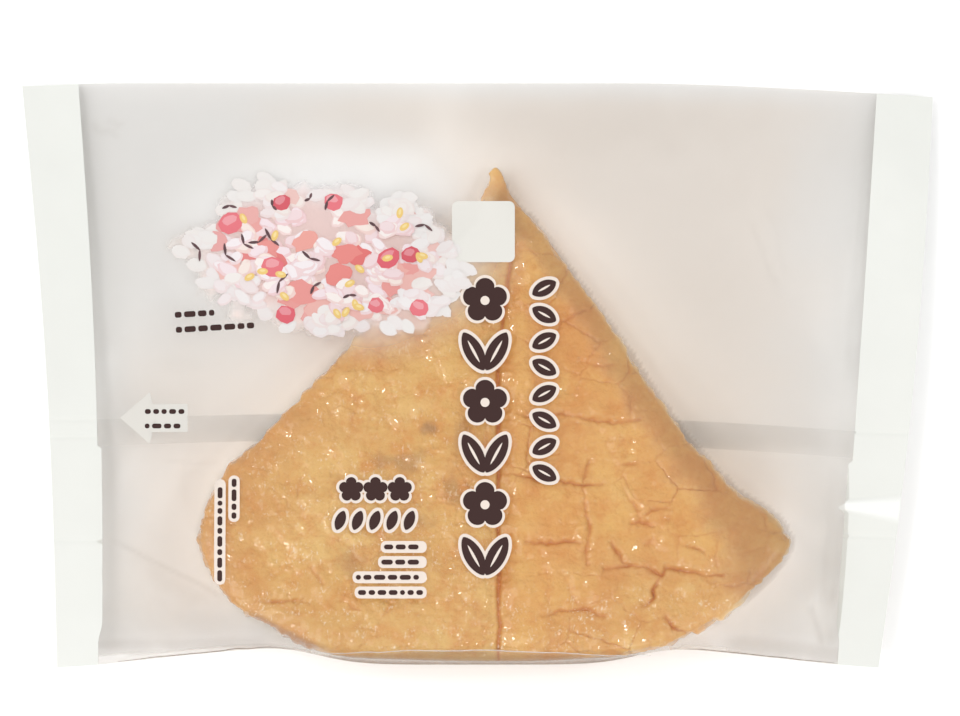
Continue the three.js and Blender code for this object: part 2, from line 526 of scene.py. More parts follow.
def tofu_skin_material():
    """Fried tofu skin: tan with yellow and orange patches, deeper in tone in its creases as painted shade,
    paler on the tops of blisters and on crease lips as painted highlight, with painted glint flecks and a
    glossy coat on top.
    """
    s = Shading("tofu_skin")
    patches = s.stretch(s.noise(15.0, 4.0, 0.6), 0.36, 0.64)
    tan = s.blend(s.value("right"), s.blend(patches, *SKIN_LEFT), s.blend(patches, *SKIN_RIGHT))
    orange = s.stretch(s.noise(5.0, 5.0, 0.7), 0.46, 0.68, 0.0, 0.75)
    tan = s.blend(orange, tan, SKIN_ORANGE)
    # Painted highlight: paler on the tops of blisters and on crease lips
    tan = s.blend(s.maths("MULTIPLY", s.value("raised_highlight"), 0.3), tan, SKIN_PALE)
    speckle = s.stretch(s.noise(0.7, 3.0, 0.7), 0.53, 0.7, 0.0, 0.16)
    tan = s.blend(speckle, tan, SKIN_SPECKLE)
    freckle = s.stretch(s.noise(0.9, 2.0, 0.6), 0.44, 0.28, 0.0, 0.18)
    tan = s.blend(freckle, tan, SKIN_FRECKLE)
    for name, tone in SKIN_TINTS.items():
        tan = s.blend(s.value(name), tan, tone)
    turned_place = {"Vector": s.place(), "Rotation": (0.0, 0.0, 0.7), "Scale": (1.0, 0.42, 1.0)}
    streaky = s.add("ShaderNodeMapping", turned_place).outputs[0]
    # Painted highlight: small pale flecks that stand in for glints, laid where the pouch's glint mask allows
    glint_fleck = s.stretch(s.noise(0.5, 2.0, 0.5), 0.6, 0.73)
    glint_fleck = s.maths("MAXIMUM", glint_fleck, s.stretch(s.noise(0.6, 2.0, 0.5, streaky), 0.6, 0.74))
    glint_fleck = s.maths("MULTIPLY", glint_fleck, s.stretch(s.noise(3.2, 2.0), 0.46, 0.6))
    tan = s.blend(s.maths("MULTIPLY", glint_fleck, s.value("painted_glint")), tan, SKIN_PAINTED_GLINT)
    pores = s.add("ShaderNodeTexVoronoi", {"Vector": s.place(), "Scale": 1 / (0.8 * MM)}).outputs["Distance"]
    grain = s.maths("ADD", s.noise(0.6, 4.0, 0.7), s.maths("MULTIPLY", pores, 0.4))
    inputs = {
        "Base Color": tan,
        "Roughness": s.stretch(s.noise(2.2, 3.0), 0.3, 0.7, 0.4, 0.6),
        "Coat Weight": 0.9,
        "Coat Roughness": 0.05,
        "Normal": s.bump(grain, 0.6, 0.38),
    }
    return s.finish(s.add("ShaderNodeBsdfPrincipled", inputs).outputs[0])


FILM_TINTS = ((0.873, 0.873, 0.87, 1.0), (0.882, 0.829, 0.782, 1.0))
SHEER_TINTS = ((0.994, 0.993, 0.991, 1.0), (0.991, 0.962, 0.932, 1.0))
FILM_MILK = linear(226, 216, 204)
FILM_WHITE = linear(244, 245, 246)
FILM_BLUSH = linear(238, 206, 200)
# Haze colour of the film's painted shade
FILM_SHADE = linear(160, 143, 128)
BACK_LIT_SHARE = 0.42
MOST_SHINE = 0.1


def film_material():
    """Clear film with a slight haze, warmer over the food and milky where white ink backs the print; its haze
    also carries painted shade and painted highlights, and it is made clearer where shade falls beside the
    pouch and seals, as painted light.
    """
    s = Shading("film")
    tint = s.blend(s.value("warm"), *FILM_TINTS)
    clearness_and_shadow_lift = s.blend(s.value("warm"), *SHEER_TINTS)
    # Painted light: where shade falls, the film's tint is made nearly clear
    tint = s.blend(s.value("clearness_and_shadow_lift"), tint, clearness_and_shadow_lift)
    clear = s.add("ShaderNodeBsdfTransparent", {"Color": tint}).outputs[0]
    milky = s.blend(s.value("mist"), FILM_MILK, FILM_WHITE)
    milky = s.blend(s.value("blush"), milky, FILM_BLUSH)
    milky = s.blend(s.value("shade"), milky, FILM_SHADE)
    waves = s.maths("ADD", s.noise(9.0, 3.0), s.maths("MULTIPLY", s.noise(1.4, 2.0), 0.12))
    normal = s.bump(waves, 0.25, 0.8)
    front_lit = s.add("ShaderNodeBsdfDiffuse", {"Color": milky, "Normal": normal}).outputs[0]
    back_lit = s.add("ShaderNodeBsdfTranslucent", {"Color": milky, "Normal": normal}).outputs[0]
    haze = s.add("ShaderNodeMixShader", {0: BACK_LIT_SHARE, 1: front_lit, 2: back_lit}).outputs[0]
    body = s.add("ShaderNodeMixShader", {0: s.value("haze"), 1: clear, 2: haze}).outputs[0]
    gloss = s.add("ShaderNodeBsdfGlossy", {"Roughness": 0.25, "Normal": normal}).outputs[0]
    fresnel = s.add("ShaderNodeFresnel", {"IOR": 1.3, "Normal": normal}).outputs[0]
    shine = s.maths("MINIMUM", fresnel, MOST_SHINE)
    return s.finish(s.add("ShaderNodeMixShader", {0: shine, 1: body, 2: gloss}).outputs[0])


def seal_material():
    """White heat-sealed film, smooth, with a faint unevenness and a painted highlight on the wedge fold."""
    s = Shading("end_seal")
    uneven = s.maths("ADD", s.noise(5.0, 2.0), s.maths("MULTIPLY", s.noise(1.0, 2.0), 0.2))
    white = s.blend(s.noise(12.0, 2.0), linear(203, 204, 199), linear(209, 210, 205))
    inputs = {
        "Base Color": s.blend(s.value("wedge_highlight"), white, linear(219, 220, 217)),
        "Roughness": 0.42,
        "Normal": s.bump(uneven, 0.15, 0.6),
    }
    return s.finish(s.add("ShaderNodeBsdfPrincipled", inputs).outputs[0])


def ink_material():
    """Printing ink on the film, each shape in its own colour."""
    s = Shading("print_ink")
    inputs = {"Base Color": s.colour("ink"), "Roughness": 0.6, "Specular IOR Level": 0.1}
    return s.finish(s.add("ShaderNodeBsdfPrincipled", inputs).outputs[0])


def floor_material():
    s = Shading("pale_floor")
    colour = s.blend(s.noise(40.0, 2.0), linear(250, 250, 250), linear(253, 253, 253))
    inputs = {"Base Color": colour, "Roughness": 0.9, "Specular IOR Level": 0.1}
    return s.finish(s.add("ShaderNodeBsdfPrincipled", inputs).outputs[0])


# Tofu pouch: the fold down its middle, and its creases, each with a depth and the places that it runs through

FOLD_X = 3.9
FOLD_LEAN = 2.0
CREASES = (
    (0.7, (5.4, -7.2), (15.7, -7.2), (20.6, -8.0), (24.8, -8.9), (30.5, -8.2)),
    (0.9, (4.3, -18.2), (9.6, -18.6), (16.4, -19.6), (19.8, -20.3), (23.3, -20.1)),
    (0.6, (19.8, -20.3), (20.4, -17.3), (21.0, -15.8)),
    (0.8, (19.8, -20.5), (20.0, -26.0), (20.8, -29.0), (20.0, -32.5), (20.2, -34.6)),
    (0.8, (9.4, -30.6), (13.0, -31.3), (15.7, -30.8), (19.8, -31.0)),
    (1.0, (23.3, -35.9), (27.0, -35.3), (30.9, -35.3), (33.9, -36.8), (34.7, -35.5), (39.2, -36.5),
     (45.3, -36.7)),
    (0.9, (33.9, -36.8), (32.4, -39.3), (32.8, -40.8), (30.9, -42.4)),
    (0.8, (24.8, -30.6), (26.3, -33.2), (27.8, -34.9)),
    (0.8, (28.6, -27.5), (30.5, -27.2), (32.2, -27.7)),
    (0.7, (27.0, -20.7), (28.6, -23.7), (30.5, -26.6)),
    (0.5, (30.5, -26.6), (32.0, -24.9), (34.9, -24.7)),
    (0.5, (27.0, -16.3), (29.3, -16.3)),
    (0.5, (28.2, -4.0), (28.4, -7.4)),
    (0.5, (31.6, -31.3), (33.3, -30.2)),
    (0.8, (11.9, -44.4), (15.7, -43.5), (19.5, -42.9), (23.3, -44.6)),
    (0.8, (34.7, -44.6), (36.6, -46.9), (38.8, -48.0)),
    (0.5, (38.5, -31.3), (41.1, -32.1), (42.3, -34.0)),
    (0.4, (53.3, -25.6), (53.7, -28.7)),
    (0.5, (19.3, 2.8), (22.5, 2.2), (26.2, 2.1)),
    (0.6, (-30.5, -35.5), (-28.7, -38.7)),
    (0.6, (-40.8, -42.2), (-36.2, -41.5), (-31.2, -41.9)),
    (0.5, (-24.0, -42.2), (-21.9, -43.3)),
)
CRAZING_SIZE = 9.0
TOAST = 0.62
STAINS = (
    (-8.8, -9.9, 1.6, 1.4, 0.6), (-14.5, -15.8, 4.5, 2.4, 0.4), (-23.7, -34.4, 4.0, 2.6, 0.3),
    (-10.7, -27.0, 3.2, 2.4, 0.3), (-4.5, -20.0, 2.0, 4.0, 0.35), (-2.8, -12.0, 1.8, 4.5, 0.3),
    (-35.0, -7.0, 4.0, 3.0, 0.3), (-42.0, -14.0, 3.0, 4.0, 0.3), (-52.0, -29.0, 2.5, 4.0, 0.3),
)
# Line along the lower left edge where painted shade stands for the pouch's shadowed underside
UNDERSIDE_SHADE_EDGE = ((-44.0, -44.0), (-37.0, -48.4), (-27.5, -52.2))


def polyline_distance(x, y, points):
    """Distance to a line through points, and how far along it the nearest place is, from 0 to 1."""
    nearest = np.full(x.shape, np.inf)
    share = np.zeros(x.shape)
    parts = len(points) - 1
    for k, ((x0, y0), (x1, y1)) in enumerate(zip(points, points[1:])):
        along = ((x - x0) * (x1 - x0) + (y - y0) * (y1 - y0)) / ((x1 - x0) ** 2 + (y1 - y0) ** 2)
        along = np.clip(along, 0, 1)
        away = np.hypot(x - lerp(x0, x1, along), y - lerp(y0, y1, along))
        share = np.where(away < nearest, (k + along) / parts, share)
        nearest = np.minimum(nearest, away)
    return nearest, share


def swayed(x, y):
    """Places moved a little at random, so that lines drawn through them waver."""
    sway_x = x + 0.35 * rough_noise(x, y, 3.0, 11) + 0.18 * wave_noise(x, y, 0.9, 17)
    sway_y = y + 0.35 * rough_noise(x, y, 3.0, 23) + 0.18 * wave_noise(x, y, 0.9, 29)
    return sway_x, sway_y


def fold_offset(x, y):
    """How far a place is to the right of the long fold down the middle of the front."""
    aside = x - FOLD_X - 0.3 * wave_noise(x, y, 9.0, 3) - 0.2 * wave_noise(x, y, 2.0, 5)
    return aside - FOLD_LEAN * smoothstep(0, 24, y)


def crazing_gap(x, y):
    return cell_gap(x, y * 1.25, CRAZING_SIZE, 5)


def near_crease(x, y):
    """Whether a place is so near a crease that it needs a finer mesh."""
    sway_x, sway_y = swayed(x, y)
    near = (np.abs(fold_offset(x, y)) < 1.3) | (crazing_gap(sway_x, sway_y) < 0.07)
    for _, *points in CREASES:
        near |= polyline_distance(sway_x, sway_y, points)[0] < 0.9
    return near


def skin_creases(x, y):
    """Depth of the folds in the front of the skin, how dark each makes it as painted shade, and the pale lips
    beside them, which carry a painted highlight.
    """
    sway_x, sway_y = swayed(x, y)
    depth = np.zeros(x.shape)
    dark = np.zeros(x.shape)
    lips = np.zeros(x.shape)
    for deep, *points in CREASES:
        away, along = polyline_distance(sway_x, sway_y, points)
        taper = deep * (0.45 + 0.55 * np.sin(math.pi * np.clip(along, 0.06, 0.94)))
        taper = taper * (0.8 + 0.4 * wave_noise(x, y, 2.5, 37))
        sharp = np.exp(-(away / 0.26) ** 2)
        soft = np.exp(-(away / 1.3) ** 2)
        depth = np.maximum(depth, taper * (0.7 * sharp + 0.4 * soft))
        dark = np.maximum(dark, taper * (1.0 * sharp + 0.32 * soft))
        lips = np.maximum(lips, taper * np.exp(-((away - 1.0) / 0.4) ** 2))
    right = smoothstep(-2, 8, x - FOLD_X)
    crazing = np.exp(-(crazing_gap(sway_x, sway_y) / 0.03) ** 2)
    strength = np.clip(0.3 + 0.9 * wave_noise(x, y, 10.0, 41), 0, 1)
    depth = np.maximum(depth, crazing * strength * lerp(0.12, 0.32, right))
    dark = np.maximum(dark, crazing * strength * lerp(0.2, 0.62, right))
    aside = fold_offset(x, y)
    reach = smoothstep(28, 20, y)
    fold = reach * (0.6 * np.exp(-(aside / 0.35) ** 2) + 0.6 * np.exp(-(aside / 2.4) ** 2))
    # Painted shade: the fold's groove is darkened, and so is a band to its right
    fold_shade = reach * (0.8 * np.exp(-(aside / 0.35) ** 2) + 0.25 * np.exp(-((aside - 1.4) / 1.6) ** 2))
    return np.maximum(depth, fold), np.maximum(dark, fold_shade), lips


def wrinkles(x, y, size, seed):
    """Thin winding lines, 1 on a line and 0 away from it."""
    return np.exp(-(rough_noise(x, y, size, seed, 2) / 0.14) ** 2)


def skin_relief(x, y):
    """How far the front of the skin stands in or out, with its creases, blisters and pores."""
    creases, dark, lips = skin_creases(x, y)
    left = 1 - smoothstep(-3, 6, x - FOLD_X)
    low = smoothstep(-20, -42, y)
    lumpy = np.maximum(left, 0.7 * low)
    pillows = 0.3 * rough_noise(x, y, 8.0, 53, 2)
    blisters = lerp(0.18, 0.26, lumpy) * rough_noise(x, y, 2.8, 61, 2)
    pores = lerp(0.09, 0.13, lumpy) * (1 - 2 * np.abs(wave_noise(x, y, 1.3, 67)))
    come_and_go = np.clip(0.4 + 0.9 * wave_noise(x, y, 7.0, 73), 0, 1) * lerp(0.6, 1.0, lumpy)
    lines = come_and_go * np.maximum(wrinkles(x, y, 5.0, 79), 0.7 * wrinkles(x, y, 2.4, 89))
    relief = pillows + blisters + pores - creases - 0.24 * lines - 0.5
    # pale: painted highlight on the tops of blisters and on the crease lips; the wrinkle lines add painted
    # shade to dark
    pale = np.maximum(smoothstep(0.05, 0.35, blisters), lips)
    return relief + 0.12 * lips, np.maximum(dark, 0.3 * lines), pale


def pouch_shell():
    """Points and faces of the closed body, ring by ring from the middle of the front to that of the back."""
    middle = outline.mean(axis=0)
    shares = np.sin(np.linspace(0.02, 1, POUCH_RINGS) * math.pi / 2)
    rings = []
    for share in shares:
        ring = middle + (outline - middle) * share
        depth = np.maximum(depth_inside(ring[:, 0], ring[:, 1]), 0) if share < 1 else np.zeros(len(ring))
        rings.append((ring, depth))
    points = []
    for ring, depth in rings:
        points.append(np.column_stack((ring, pouch_front(ring[:, 1], depth))))
    for ring, depth in rings[-2::-1]:
        points.append(np.column_stack((ring, pouch_back(ring[:, 1], depth))))
    count = len(outline)
    faces = []
    for r in range(len(points) - 1):
        for k in range(count):
            n = (k + 1) % count
            faces.append((r * count + k, (r + 1) * count + k, (r + 1) * count + n, r * count + n))
    faces.append(tuple(range(count)))
    faces.append(tuple((len(points) - 1) * count + k for k in range(count))[::-1])
    return np.concatenate(points), faces


def remeshed(obj, voxel):
    """Replaces the object's mesh by an even one with faces about a voxel across."""
    modifier = obj.modifiers.new("even", "REMESH")
    modifier.mode = "VOXEL"
    modifier.voxel_size = voxel * MM
    even = bpy.data.meshes.new_from_object(obj.evaluated_get(bpy.context.evaluated_depsgraph_get()))
    obj.modifiers.clear()
    old = obj.data
    obj.data = even
    bpy.data.meshes.remove(old)


def read_vectors(collection, field, count):
    values = np.empty(count * 3, np.float32)
    collection.foreach_get(field, values)
    return values.reshape(-1, 3).astype(float)


def refine_creases(mesh):
    """Splits the faces of the front that lie near a crease into four."""
    form = bmesh.new()
    form.from_mesh(mesh)
    form.verts.ensure_lookup_table()
    at = np.array([v.co[:] for v in form.verts]) / MM
    up = np.array([v.normal.z for v in form.verts])
    near = near_crease(at[:, 0], at[:, 1]) & (up > 0.3)
    edges = [e for e in form.edges if near[e.verts[0].index] or near[e.verts[1].index]]
    bmesh.ops.subdivide_edges(form, edges=edges, cuts=1, use_grid_fill=True)
    form.to_mesh(mesh)
    form.free()


def pouch_looks(x, y, depth, facing):
    """Where the skin is stained, on its right half, pale at its rim, in painted shade on its underside,
    toasted or under painted glint flecks, from 0 to 1.
    """
    stain = np.zeros(x.shape)
    for sx, sy, wide, high, amount in STAINS:
        away = np.hypot((x - sx) / wide, (y - sy) / high) + 0.5 * rough_noise(x, y, 2.6, 83)
        stain = np.maximum(stain, amount * smoothstep(1.2, 0.2, away))
    rim = smoothstep(1.2, 0.2, depth) * (0.6 + 0.4 * wave_noise(x, y, 4.0, 91))
    # Painted shade: a grey band along the lower left edge for the shadowed underside
    away, along = polyline_distance(x, y, UNDERSIDE_SHADE_EDGE)
    underside_shade = smoothstep(2.3, 1.1, away + 0.3 * wave_noise(x, y, 2.0, 95))
    toast = smoothstep(16, 2, depth + 4 * rough_noise(x, y, 9.0, 99)) * smoothstep(-16, -36, x)
    # Where the painted glint flecks go: left of the fold and in the low band, away from the outline, more
    # towards the bottom
    painted_glint = np.maximum(smoothstep(2, -6, x - FOLD_X), smoothstep(-36, -44, y)) * smoothstep(0.3, 1.5, depth)
    painted_glint = painted_glint * lerp(0.25, 0.6, smoothstep(0, -30, y))
    return {
        "stain": stain * facing,
        "right": smoothstep(-2, 3, x - FOLD_X),
        "rim": np.clip(rim, 0, 1) * smoothstep(-50, -44, y) * smoothstep(5, 30, x),
        "underside_shade": underside_shade * smoothstep(0, 0.25, 0.5 - np.abs(along - 0.5)),
        "toast": TOAST * toast * facing,
        "painted_glint": painted_glint * facing,
    }


def make_pouch(material):
    points, faces = pouch_shell()
    obj = piece("inari_pouch", points, faces, material)
    remeshed(obj, POUCH_VOXEL)
    mesh = obj.data
    refine_creases(mesh)
    count = len(mesh.vertices)
    at = read_vectors(mesh.vertices, "co", count) / MM
    normal = read_vectors(mesh.vertices, "normal", count)
    x, y = at[:, 0], at[:, 1]
    depth = depth_inside(x, y)
    facing = smoothstep(-0.45, 0.05, normal[:, 2])
    relief, dark, pale = skin_relief(x, y)
    edge_on = 1 - smoothstep(0.2, 0.6, np.abs(normal[:, 2]))
    teeth = rough_noise(x + 0.2 * at[:, 2], y + 0.2 * at[:, 2], 1.5, 71, 2)
    lower_right = smoothstep(10, 30, x) * smoothstep(-26, -33, y)
    ragged = (0.6 * teeth - 0.35) * edge_on * lerp(0.6, 1.7, lower_right) * smoothstep(-53, -50, y)
    low_wall = edge_on * smoothstep(-46, -51, y)
    at += normal * np.minimum(relief * facing * (1 - low_wall) + ragged - 0.1, OUTWARD_LIMIT)[:, None]
    at[:, 2] = np.maximum(at[:, 2], POUCH_LOWEST - 0.1)
    mesh.vertices.foreach_set("co", np.ascontiguousarray(at * MM, np.float32).ravel())
    mesh.polygons.foreach_set("use_smooth", [True] * len(mesh.polygons))
    mesh.update()
    # crease: painted shade in the creases, the fold and the wrinkle lines
    set_attribute(obj, "crease", np.clip(dark, 0, 1) * facing)
    # Painted highlight on the tops of blisters and the crease lips
    set_attribute(obj, "raised_highlight", pale * facing)
    for name, values in pouch_looks(x, y, depth, facing).items():
        set_attribute(obj, name, values)


# Film, seals and seam

MIST_MIDDLE = (-27.0, 25.0)
MIST_SIZE = (35.0, 23.0)
MIST_HAZE = 0.12
# Painted light: under the mist the film is made clearer to lift the shade that its haze casts
MIST_SHADOW_LIFT = 0.62
WHITE_HAZE = 0.88
RICE_MIDDLE = (-28.4, 21.5)
RICE_SIZE = (26.0, 14.0)
RICE_TILT = -0.12
BOTTOM_CREASE = ((-29.3, -51.6), (-14.0, -51.0), (0.5, -50.8), (16.0, -51.4), (32.3, -52.1))
# Soft patches of painted shade on the film: middle, width, height and amount
FILM_SHADES = (
    (44.0, 10.0, 7.0, 22.0, 0.05), (-56.0, 2.0, 7.0, 2.0, 0.1), (-68.0, -47.0, 4.0, 6.0, 0.1),
    (62.0, -14.0, 5.0, 3.0, 0.08), (40.0, 33.0, 12.0, 6.0, 0.05), (-58.0, -47.0, 16.0, 5.0, 0.2),
    (16.0, 47.0, 42.0, 8.0, 0.2),
)
# Folds of the film as lines of painted shade: width, amount and the places each runs through
FILM_FOLDS = (
    (1.8, 0.8, (44.0, -49.4), (53.0, -50.4), (66.0, -52.2), (72.0, -53.0)),
    (1.8, 0.35, (66.3, -38.0), (65.9, -46.0), (65.0, -58.0)),
    (0.8, 0.5, (61.5, -41.9), (63.2, -47.0), (64.7, -52.0)),
    (1.4, 0.6, (-78.0, -50.4), (-60.0, -50.2), (-46.0, -49.9), (-34.0, -50.2)),
    (2.2, 0.3, (-66.0, -31.2), (-58.0, -38.0), (-49.0, -42.6)),
    (0.6, 0.5, (-70.0, -29.6), (-60.0, -34.8), (-51.0, -39.0), (-45.0, -42.6)),
    (0.7, 0.14, (49.6, 31.0), (53.0, 24.0), (54.6, 19.0), (57.4, 14.6)),
    (0.7, 0.1, (52.8, 33.6), (56.0, 27.5), (56.4, 22.0), (58.8, 17.8)),
    (0.7, 0.25, (-72.6, 47.6), (-70.2, 45.2), (-68.6, 45.6), (-66.4, 43.6)),
    (0.7, 0.2, (-69.8, 48.0), (-67.0, 46.6), (-65.4, 47.0)),
    (0.7, 0.16, (-60.0, -15.8), (-52.0, -16.4), (-47.0, -16.2)),
)
VEIL_EDGE = ((7.6, 32.4), (24.6, 10.4), (41.2, -13.2), (53.8, -24.2), (58.7, -31.4))
VEIL_HAZE = 0.23
VEIL_REACH = (6.0, 20.0)
SHADE_HAZE = 0.3
STRIP_HAZE = (0.34, 0.6)
LIP_HAZE = 0.6
CLEAR_HAZE_OVER = 0.02
CLEAR_HAZE_BESIDE = 0.045
BACK_HAZE = 0.05
LIP_XS = (-72.0, -62.0, -50.0, -34.0, -30.5, 36.0, 38.0, 46.0, 49.0)
LIP_WIDTHS = (2.0, 1.2, 0.75, 0.6, 0.0, 0.0, 0.8, 0.8, 0.0)
# Painted light: how strongly and how far the film is made clearer to lift the shade beside the pouch, by the
# seals and in the lower right corner
SHADOW_LIFT_LEFT = 0.9
SHADOW_LIFT_LEFT_REACH = 10.0
SHADOW_LIFT_LEFT_LOW = 0.6
SHADOW_LIFT_EDGE = 0.4
SHADOW_LIFT_EDGE_REACH = 2.5
SHADOW_LIFT_RIGHT = 1.17
SHADOW_LIFT_RIGHT_REACH = 5.5
SHADOW_LIFT_APEX = 0.45
SHADOW_LIFT_SEALS = ((-1, 0.25, 2.5), (1, 0.4, 6.0))
SHADOW_LIFT_CORNER = 0.4
SHADOW_LIFT_CORNER_AT = (56.0, -44.0)
SHADOW_LIFT_CORNER_SIZE = (20.0, 16.0)


def turned(x, y, middle, size, tilt=0.0):
    """Distance from the middle of a tilted ellipse, 1 on its line."""
    dx, dy = x - middle[0], y - middle[1]
    along = dx * math.cos(tilt) + dy * math.sin(tilt)
    aside = dy * math.cos(tilt) - dx * math.sin(tilt)
    return np.hypot(along / size[0], aside / size[1])


def film_shadow_lift(x, y, up, depth):
    """Painted light: how much clearer the film is made beside the pouch, along the seals and in the lower
    right corner, to lift the shade cast there, from 0 to 1.
    """
    out = np.minimum(depth, 0)
    on_left = SHADOW_LIFT_LEFT * np.exp(out / SHADOW_LIFT_LEFT_REACH) + SHADOW_LIFT_EDGE * np.exp(out / SHADOW_LIFT_EDGE_REACH)
    on_left = on_left * lerp(SHADOW_LIFT_LEFT_LOW, 1, smoothstep(-34, -14, y))
    on_left = on_left * smoothstep(-50, -38, y)
    on_right = SHADOW_LIFT_RIGHT * np.exp(out / SHADOW_LIFT_RIGHT_REACH) * lerp(SHADOW_LIFT_APEX, 1, smoothstep(40, 24, y))
    on_right = on_right * smoothstep(-53, -46, y)
    clearness_and_shadow_lift = lerp(on_right, on_left, smoothstep(6, -10, x))
    corner = SHADOW_LIFT_CORNER * smoothstep(1.2, 0.2, turned(x, y, SHADOW_LIFT_CORNER_AT, SHADOW_LIFT_CORNER_SIZE))
    clearness_and_shadow_lift = np.maximum(clearness_and_shadow_lift, corner * smoothstep(-51.5, -45, y))
    left, right = film_edges(up)
    for side, amount, reach in SHADOW_LIFT_SEALS:
        from_seal = right - x if side > 0 else x - left
        beside_seal = amount * np.exp(-(from_seal / reach) ** 2)
        beside_seal = beside_seal * smoothstep(2, -8, y) * smoothstep(-50, -40, y)
        clearness_and_shadow_lift = np.maximum(clearness_and_shadow_lift, beside_seal)
    return np.minimum(clearness_and_shadow_lift, 1) * np.exp(-np.maximum(depth, 0))


def film_warmth(x, y, across, up, depth):
    """How warm the film looks: most beside the pouch, least along the seals and in the upper left; partly the
    film's own tint and partly painted warm bounce light from the pouch.
    """
    left, right = film_edges(up)
    uneven = 4 * rough_noise(x, y, 16.0, 7)
    from_left = x - left + uneven
    from_right = right - x + uneven
    upper = smoothstep(-5, 15, y)
    ramp = lerp(smoothstep(0, 14, from_left), smoothstep(22, 44, from_left), upper)
    ramp = ramp * smoothstep(0, 25, from_right) * smoothstep(0, 5, top_fold_y(across) - y)
    ramp = ramp * smoothstep(0, 14, y - bottom_fold_y(across) + uneven)
    ramp = ramp * lerp(1, smoothstep(-44, -24, y), smoothstep(10, 30, x))
    ramp = np.clip(ramp + 0.1 * rough_noise(x, y, 11.0, 9), 0, 1)
    warm = lerp(0.15, 1, ramp) * lerp(0.58, 0.76, np.exp(np.minimum(depth, 0) / 10))
    return warm * lerp(0.78, 1, smoothstep(-20, 10, x + 0.8 * np.maximum(0, y - 30)))


def film_shade(x, y):
    """How much painted shade the soft patches and folds lay on the film."""
    shade = np.zeros(x.shape)
    for sx, sy, wide, high, amount in FILM_SHADES:
        away = np.hypot((x - sx) / wide, (y - sy) / high) + 0.25 * rough_noise(x, y, 6.0, 23)
        shade = np.maximum(shade, amount * smoothstep(1.3, 0.2, away))
    for wide, amount, *points in FILM_FOLDS:
        away, along = polyline_distance(x, y, points)
        ends = smoothstep(0, 0.2, 0.5 - np.abs(along - 0.5))
        shade = np.maximum(shade, amount * np.exp(-(away / wide) ** 2) * ends)
    return shade


def film_veil(x, y, depth):
    """Where the film stands off the pouch along its right edge and veils it."""
    away, along = polyline_distance(x, y, VEIL_EDGE)
    reach = lerp(*VEIL_REACH, along ** 2)
    return smoothstep(reach, 0.5 * reach, away + rough_noise(x, y, 4.0, 43)) * smoothstep(-0.3, 0.3, depth)


def film_looks(x, y, across, up, depth):
    """Haze, warmth, white ink, blush, shade and clearness of the front film, each from 0 to 1."""
    above_fold = y - bottom_fold_y(across)
    mist = smoothstep(1.1, 0.45, turned(x, y, MIST_MIDDLE, MIST_SIZE) + 0.04 * rough_noise(x, y, 12.0, 13))
    rice = turned(x, y, RICE_MIDDLE, RICE_SIZE, RICE_TILT) + 0.15 * rough_noise(x, y, 5.0, 19)
    white = np.maximum(mist * smoothstep(-1, 1, depth), smoothstep(1.02, 0.86, rice))
    shade, veil = film_shade(x, y), film_veil(x, y, depth)
    # Painted shade: the band below the bottom crease stands for the pouch's shaded bottom face seen through
    # the film
    crease_y = np.interp(x, *np.array(BOTTOM_CREASE).T)
    bottom_strip_shade = smoothstep(-35, -24, x) * smoothstep(40, 27, x) * smoothstep(crease_y, crease_y - 0.5, y)
    strip_haze = lerp(*STRIP_HAZE, smoothstep(1.0, 0.2, above_fold))
    # Painted highlight: a pale band along the bottom fold edges
    lip_width = np.interp(x, LIP_XS, LIP_WIDTHS)
    lip_highlight = smoothstep(1.1, 0.8, above_fold / np.maximum(lip_width, 0.01)) * (lip_width > 0.05)
    haze = np.where(depth > 0, CLEAR_HAZE_OVER, CLEAR_HAZE_BESIDE) + 0.012 * rough_noise(x, y, 14.0, 7)
    layers = (
        (SHADE_HAZE, shade), (VEIL_HAZE, veil), (MIST_HAZE, mist),
        (WHITE_HAZE, white), (strip_haze, bottom_strip_shade), (LIP_HAZE, lip_highlight),
    )
    for amount, share in layers:
        haze = lerp(haze, amount, np.clip(share, 0, 1))
    # Painted light: clearer film under the mist lifts the shade of its haze
    mist_shadow_lift = MIST_SHADOW_LIFT * np.minimum(1.5 * mist, 1) * smoothstep(1, -1, depth)
    return {
        "haze": haze,
        "warm": film_warmth(x, y, across, up, depth) * (1 - mist),
        # White ink, and the painted highlight along the bottom fold edges
        "mist": np.maximum(mist, 0.6 * lip_highlight),
        "blush": 0.8 * smoothstep(1.1, 0.6, rice),
        # Painted shade: soft patches, folds, the band below the bottom crease, and the veil's haze in the
        # same colour
        "shade": np.maximum(np.maximum(shade * 2, bottom_strip_shade), veil) * (1 - lip_highlight),
        "clearness_and_shadow_lift": np.maximum(film_shadow_lift(x, y, up, depth), mist_shadow_lift),
    }


